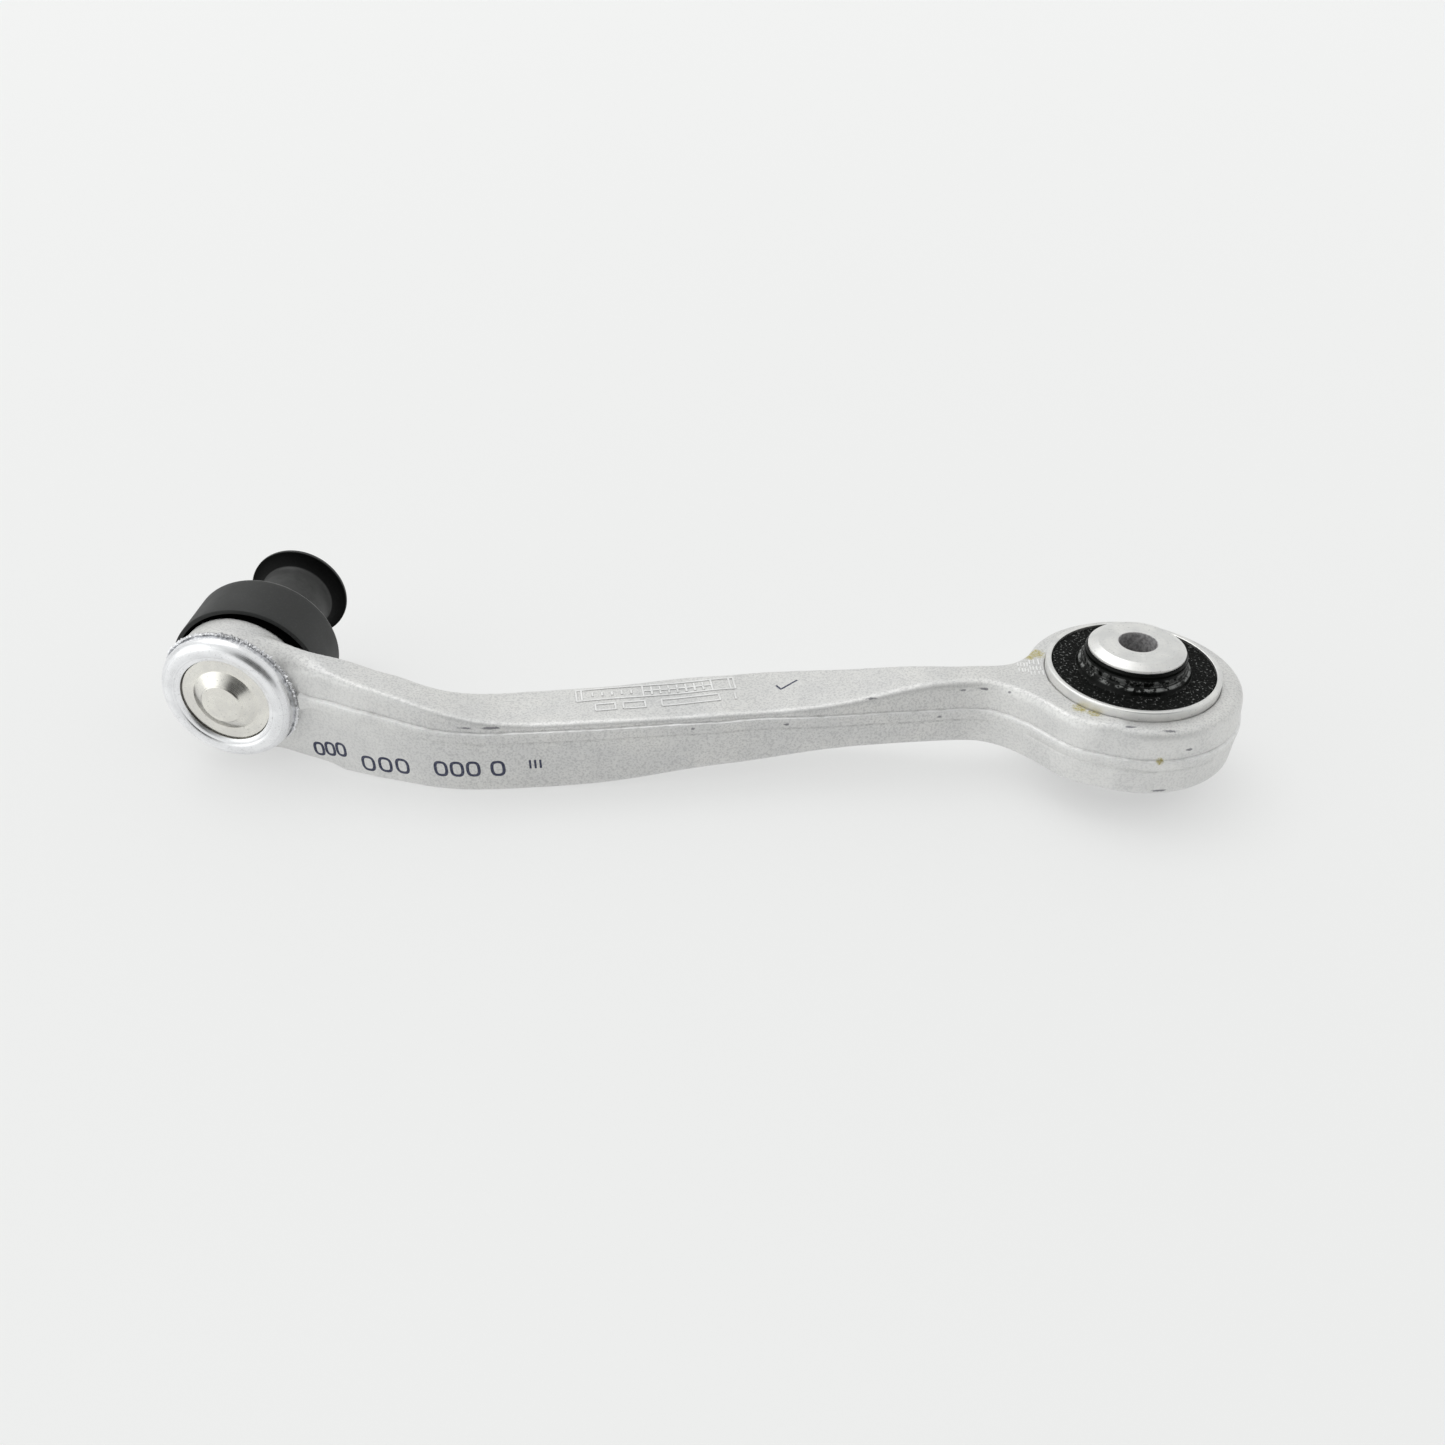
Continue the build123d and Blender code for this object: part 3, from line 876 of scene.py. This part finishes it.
def bright_nicks(skin, material):
    """Short bright scratches beside the bush, in five small rows."""
    # First x, pitch, number, low y and high y of each row, in mm
    rows = (
        (-30.6, 0.85, 4, 2.5, 4.5), (-30.7, 0.85, 4, -0.2, 1.7), (-27.3, 1.25, 3, 3.5, 6.3),
        (-27.5, 0.9, 4, 0.9, 2.8), (-27.6, 1.1, 4, -1.7, 0.3),
    )
    strokes = []
    for x0, pitch, count, low, high in rows:
        for k in range(count):
            x = x0 + pitch * k + 0.2 * grain(x0, low, k, 0.9)
            start = (x, low + 0.5 * grain(x, low, 0, 1.3))
            end = (x + 0.1, high + 0.5 * grain(x, high, 4, 1.3))
            strokes.append([start, end])
    bars = [skin.bar(skin.top, stroke, width=0.5, height=0.1) for stroke in strokes]
    # Marks paint the nicks' tops bright as scratched metal and their feet darker as painted shade
    piece = sweep("bright_nicks", bars, material, "arm", marks=(-0.8, 1, 1, -0.8))
    return piece


# ---- Ball joint ----
def cover_disc(material):
    """Pressed cover with a stepped boss in its middle."""
    low, high, radius = extent("closing_cover", BALL_CENTRE, HOUSING_AXIS)
    face = low + COVER_BOSS
    radius -= 0.02
    profile = [
        (0, low + 0.06), (4.6, low + 0.03, 0.4), (5.55, low + 0.1, 0.5), (6.0, low + 0.55, 0.5),
        (8.5, face - 0.5, 0.5), (9.2, face - 0.02, 0.7), (12.4, face + 0.03, 0.5), (12.9, face + 0.25, 0.3),
        (radius, face + 0.3, 0.1), (radius, high, 0.1), (0, high),
    ]
    smooth = rounded(profile, 0.2, closed=False)
    mesh = lathe("cover_disc", smooth, axis_matrix(BALL_CENTRE, HOUSING_AXIS), 128, closed=False)
    piece = new_piece("cover_disc", mesh, material, "arm")
    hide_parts("closing_cover")
    return piece


def boot(material):
    """Dust boot: drum, folded rear wall, collar on the stud, and web to the housing's groove."""
    rim, end, radius = extent("dust_boot", BALL_CENTRE, STUD_AXIS)
    radius -= 0.02
    shoulder = end - 4.4
    wall = 1.3
    inner = radius - wall
    stud = 8.12
    groove = 14.9
    beside_groove = 16.1
    edge = (radius - 0.25, shoulder - 0.25)
    # r, z, and how far the point follows the housing's axis instead of the stud's
    profile = [
        (radius, rim, 0), (radius, shoulder - 0.8, 0), (*edge, 0), (radius - 0.85, shoulder, 0),
        (17.6, shoulder + 0.25, 0), (16.4, shoulder + 1.1, 0), (15.2, shoulder + 0.4, 0),
        (13.4, shoulder + 0.5, 0), (12.3, shoulder + 1.4, 0), (11.2, shoulder + 0.9, 0),
        (10.5, shoulder + 1.3, 0), (10.4, end - 0.4, 0), (10.0, end, 0), (stud, end, 0),
        (stud, shoulder + 1.2, 0), (9.4, shoulder - 0.5, 0), (inner - 1.2, shoulder - wall - 0.3, 0),
        (inner, shoulder - wall - 1.6, 0), (inner, 7.4, 0), (17.2, 6.9, 0.6), (groove, 7.3, 1),
        (groove, 4.7, 1), (beside_groove, 4.3, 1), (beside_groove, 1.6, 1), (17.6, 0.9, 0.6),
        (inner, 1.2, 0), (inner, rim, 0),
    ]
    stud_place = axis_matrix(BALL_CENTRE, STUD_AXIS)
    housing_place = axis_matrix(BALL_CENTRE, HOUSING_AXIS)
    smooth = refined(rounded_shares(profile, 0.35), 1.5)
    segments = 144
    mesh = lathe("boot", [point[:2] for point in smooth], Matrix.Identity(4), segments)
    for i, vertex in enumerate(mesh.vertices):
        share = smooth[i // segments][2]
        vertex.co = (stud_place @ vertex.co) * (1 - share) + (housing_place @ vertex.co) * share

    # Marks: the drum's inside is painted black, as painted shade, and its shoulder edge lighter, as a painted
    # highlight
    def mark(r, z):
        if r < inner + 0.1 and z < shoulder - 0.5:
            return -1.0
        return max(0.0, 1 - math.dist((r, z), edge) / 0.8)

    set_marks(mesh, np.repeat([mark(r, z) for r, z, _ in smooth], segments))
    piece = new_piece("boot", mesh, material)
    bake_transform(piece)
    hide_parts("dust_boot")
    return piece


def cap(material):
    """Tube over the stud's pin, open at its end, with a flared lip."""
    start, end, lip = extent("pin_cap", BALL_CENTRE, STUD_AXIS)
    end -= 0.02
    lip -= 0.05
    bore = 8.1
    tube = 10.4
    front = end - 1.4
    flare = arc((lip - 0.15, front), (tube + 1.2, front - 1.25), (tube, front - 3.6), 12)
    profile = [
        (bore, start + 0.1), (bore, end - 3), (bore + 0.6, end - 1.9), (bore + 2.2, end - 0.9),
        (lip - 1.4, end - 0.05), (lip - 0.6, end), (lip - 0.15, end - 0.15), (lip, end - 0.6),
        (lip, front + 0.2),
    ]
    profile += flare + [(tube, start + 0.25), (tube - 0.25, start), (bore + 0.1, start)]
    smooth = refined(profile, 1.2)
    segments = 128
    mesh = lathe("cap", smooth, axis_matrix(BALL_CENTRE, STUD_AXIS), segments)

    # Marks: the tube is painted a little lighter and the lip's edge lighter, as painted light and highlight; the
    # flare's front face is painted darker, as painted shade
    def mark(r, z):
        if tube - 0.1 < r < tube + 0.4 and z < front - 2.4:
            return 0.18
        if r > tube + 0.4 and z < front + 0.05:
            return -0.7
        if r > lip - 0.3 and z > front:
            return 0.12
        return 0.0

    set_marks(mesh, np.repeat([mark(r, z) for r, z in smooth], segments))
    piece = new_piece("cap", mesh, material, "cap")
    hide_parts("pin_cap")
    return piece


# ---- Rubber bush ----
def bush_core(material):
    """Thick inner sleeve of the bush, chamfered at both ends, with one small nick."""
    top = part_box("bush_inner_sleeve")[1].z / MM
    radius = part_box("bush_inner_sleeve")[1].x / MM
    bore = frame["record"]["mounts"][0]["dims"]["r_mm"]
    half = [
        (bore, 0, 0), (bore, top, 0.25), (radius - 2.3, top, 0.35), (radius, top - 1.4, 0.3),
        (radius, 0, 0),
    ]
    nick = (-0.9, -8.0)

    def nicked(r, z, angle):
        near = math.dist((r * math.cos(angle), r * math.sin(angle)), nick)
        return (r, z - 0.25 * max(0, 1 - near / 0.8)) if z > top - 0.5 else (r, z)

    smooth = refined(rounded(mirrored(half), 0.3), 1.0)
    mesh = lathe("bush_core_sleeve", smooth, Matrix.Identity(4), 144, shape=nicked)
    piece = new_piece("bush_core_sleeve", mesh, material, "bush_core")
    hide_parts("bush_inner_sleeve")
    return piece


def bush_shell(material):
    """Outer sleeve of the bush, pressed into the eye."""
    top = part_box("bush_outer_sleeve")[1].z / MM
    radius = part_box("bush_outer_sleeve")[1].x / MM
    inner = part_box("bush_rubber")[1].x / MM
    half = [
        (inner, 0, 0), (inner, top - 0.1, 0.1), (inner + 0.3, top, 0.2), (radius, top, 0.55),
        (radius, 0, 0),
    ]
    smooth = refined(rounded(mirrored(half), 0.2), 2.0)
    mesh = lathe("bush_shell", smooth, Matrix.Identity(4), 180)
    piece = new_piece("bush_shell", mesh, material, "arm")
    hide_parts("bush_outer_sleeve")
    return piece


def bush_ring(material):
    """Rubber of the bush: granular faces, a raised ledge and a shiny collar around the core."""
    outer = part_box("bush_rubber")[1].x / MM
    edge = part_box("bush_outer_sleeve")[1].z / MM - RUBBER_RECESS
    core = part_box("bush_inner_sleeve")[1].x / MM + CORE_GAP
    half = [
        (outer, 0, 0), (outer, edge, 0.3), (15.5, edge + 0.15, 0.5), (14.9, edge + 1.6, 0.4),
        (14.3, edge + 2.2, 0.4), (13.75, edge + 2.5, 0.3), (13.9, edge + 3.7, 0.5), (13.5, edge + 4.4, 0.4),
        (13.6, edge + 5.4, 0.4), (core, edge + 6.3, 0.2), (core, 0, 0),
    ]

    def crumbled(r, z, angle):
        x, y = r * math.cos(angle), r * math.sin(angle)
        face = unit((r - 15.4) / 0.6) * unit((outer - r) / 0.4)
        bulge = 0.2 * grain(x, y, z, 0.3) * unit((r - 13.2) / 0.3) * (1 - face)
        push = face * 0.22 * (grain(x, y, z, 1.9) + 0.4 * grain(x, y, z, 4.1))
        return r, z + math.copysign(push + bulge, z)

    smooth = refined(rounded(mirrored(half), 0.4), 0.42)
    mesh = lathe("bush_ring", smooth, Matrix.Identity(4), 300, shape=crumbled, sharp=60)
    piece = new_piece("bush_ring", mesh, material, "arm")
    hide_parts("bush_rubber")
    return piece


# ---- Stage ----
def make_floor():
    """Pale floor that the shank's belly and the inner sleeve rest on."""
    paint = Paint("floor_paint", Base_Color=(0.29, 0.292, 0.29, 1), Roughness=0.6,
                  Emission_Color=(0.995, 1.0, 0.995, 1), Emission_Strength=0.54)
    material = paint.finish(normal=paint.bump(paint.noise(2, 2), 0.02, 0.1))
    belly = Vector((-180, 0, -18.8)) * MM
    sleeve = Vector((-13, 0, -20.0)) * MM
    slope = (belly.z - sleeve.z) / (belly.x - sleeve.x)
    reach = 4.0     # metres
    mesh = bpy.data.meshes.new("floor")
    corners = [(x, y, sleeve.z + slope * (x - sleeve.x)) for x, y in
               ((-reach, -reach), (reach, -reach), (reach, reach), (-reach, reach))]
    mesh.from_pydata(corners, [], [(0, 1, 2, 3)])
    mesh.materials.append(material)
    floor = bpy.data.objects.new("floor", mesh)
    bpy.context.collection.objects.link(floor)


def make_lights():
    """Soft white room with a window on the left, a dark patch in front, and one broad lamp."""
    world = bpy.data.worlds.new("world")
    bpy.context.scene.world = world
    world.use_nodes = True
    tree = world.node_tree
    back = tree.nodes["Background"]
    place = tree.nodes.new("ShaderNodeTexCoord")

    def glow(direction, low, high, to_low, to_high):
        """Brightness from to_low to to_high, as the cosine to the direction goes from low to high."""
        dot = tree.nodes.new("ShaderNodeVectorMath")
        dot.operation = "DOT_PRODUCT"
        tree.links.new(place.outputs["Generated"], dot.inputs[0])
        dot.inputs[1].default_value = Vector(direction).normalized()
        step = tree.nodes.new("ShaderNodeMapRange")
        step.interpolation_type = "SMOOTHSTEP"
        tree.links.new(dot.outputs["Value"], step.inputs["Value"])
        limits = {"From Min": low, "From Max": high, "To Min": to_low, "To Max": to_high}
        for name, value in limits.items():
            step.inputs[name].default_value = value
        return step.outputs[0]

    strength = glow((-0.25, 0.45, 0.85), -0.5, 0.75, 0.84, 0.80)
    dark_patch = glow((0.3, -0.9, 0.28), 0.72, 0.94, 1.0, 0.08)
    window = glow((-0.85, -0.43, 0.33), 0.84, 0.97, 1.0, 1.9)
    for patch in (dark_patch, window):
        product = tree.nodes.new("ShaderNodeMath")
        product.operation = "MULTIPLY"
        tree.links.new(strength, product.inputs[0])
        tree.links.new(patch, product.inputs[1])
        strength = product.outputs[0]
    tree.links.new(strength, back.inputs["Strength"])
    back.inputs["Color"].default_value = (0.985, 0.995, 0.985, 1)
    sun = bpy.data.lights.new("lamp", "SUN")
    sun.energy = 0.7
    sun.angle = math.radians(42)
    lamp = bpy.data.objects.new("lamp", sun)
    bpy.context.collection.objects.link(lamp)
    lamp.rotation_euler = Vector((-0.35, 0.3, 1)).to_track_quat("Z", "Y").to_euler()
    bpy.context.scene.view_settings.view_transform = "Standard"


def make_camera():
    """Camera above and in front of the arm, tilted down, with its whole length in view."""
    down, turn = 34.81, 1.78    # degrees
    camera = bpy.data.cameras.new("camera")
    view = bpy.data.objects.new("camera", camera)
    bpy.context.collection.objects.link(view)
    view.location = Vector((-102.7, -314.9, 210.1)) * MM
    view.rotation_euler = (math.radians(90 - down), 0, math.radians(turn))
    camera.sensor_width = 36
    camera.lens = 33.56
    camera.clip_start = 0.01
    camera.dof.use_dof = False
    bpy.context.scene.camera = view


make_camera()
make_lights()
make_floor()

forged = forged_metal()
turned = turned_metal(
    "turned_aluminium", BUSH_CENTRE, BUSH_AXIS, light=(0.84, 0.835, 0.815), dark=(0.74, 0.74, 0.73),
    rough=0.42, bore_mm=5.1)
rim_metal = turned_metal(
    "rim_aluminium", BALL_CENTRE, HOUSING_AXIS, light=(0.97, 0.975, 0.99), dark=(0.86, 0.865, 0.88),
    rough=0.3, streaks=0.3)
cover_metal = turned_metal(
    "cover_steel", BALL_CENTRE, HOUSING_AXIS, light=(0.86, 0.845, 0.785), dark=(0.76, 0.745, 0.70),
    rough=0.24)

arm = arm_skin(forged)
skin = Skin(arm.data)
flash(forged)
rolled_rim(rim_metal)
burr(rim_metal)
raised_marks(skin, forged)
ink_marks(skin, ink())
bright_nicks(skin, forged)
cover_disc(cover_metal)
boot(black_rubber("boot_rubber", shade=0.017, rough=0.55, marked=True))
cap(black_rubber("cap_plastic", shade=0.012, rough=0.5, fine_mm=0.8, depth=0.02, marked=True))
bush_shell(turned)
bush_ring(granular_rubber())
bush_core(turned)

# These show as they are in the CAD model
wire = drawn_steel("ring_steel", shade=0.55, rough=0.3)
for node, material in (
        ("boot_large_ring", wire),
        ("boot_small_ring", wire),
        ("ball_stud", drawn_steel("stud_steel", shade=0.6, rough=0.4)),
        ("ball_seat", black_rubber("seat_plastic", shade=0.5, rough=0.4))):
    slots = frame["nodes"][node].data.materials
    slots.clear()
    slots.append(material)
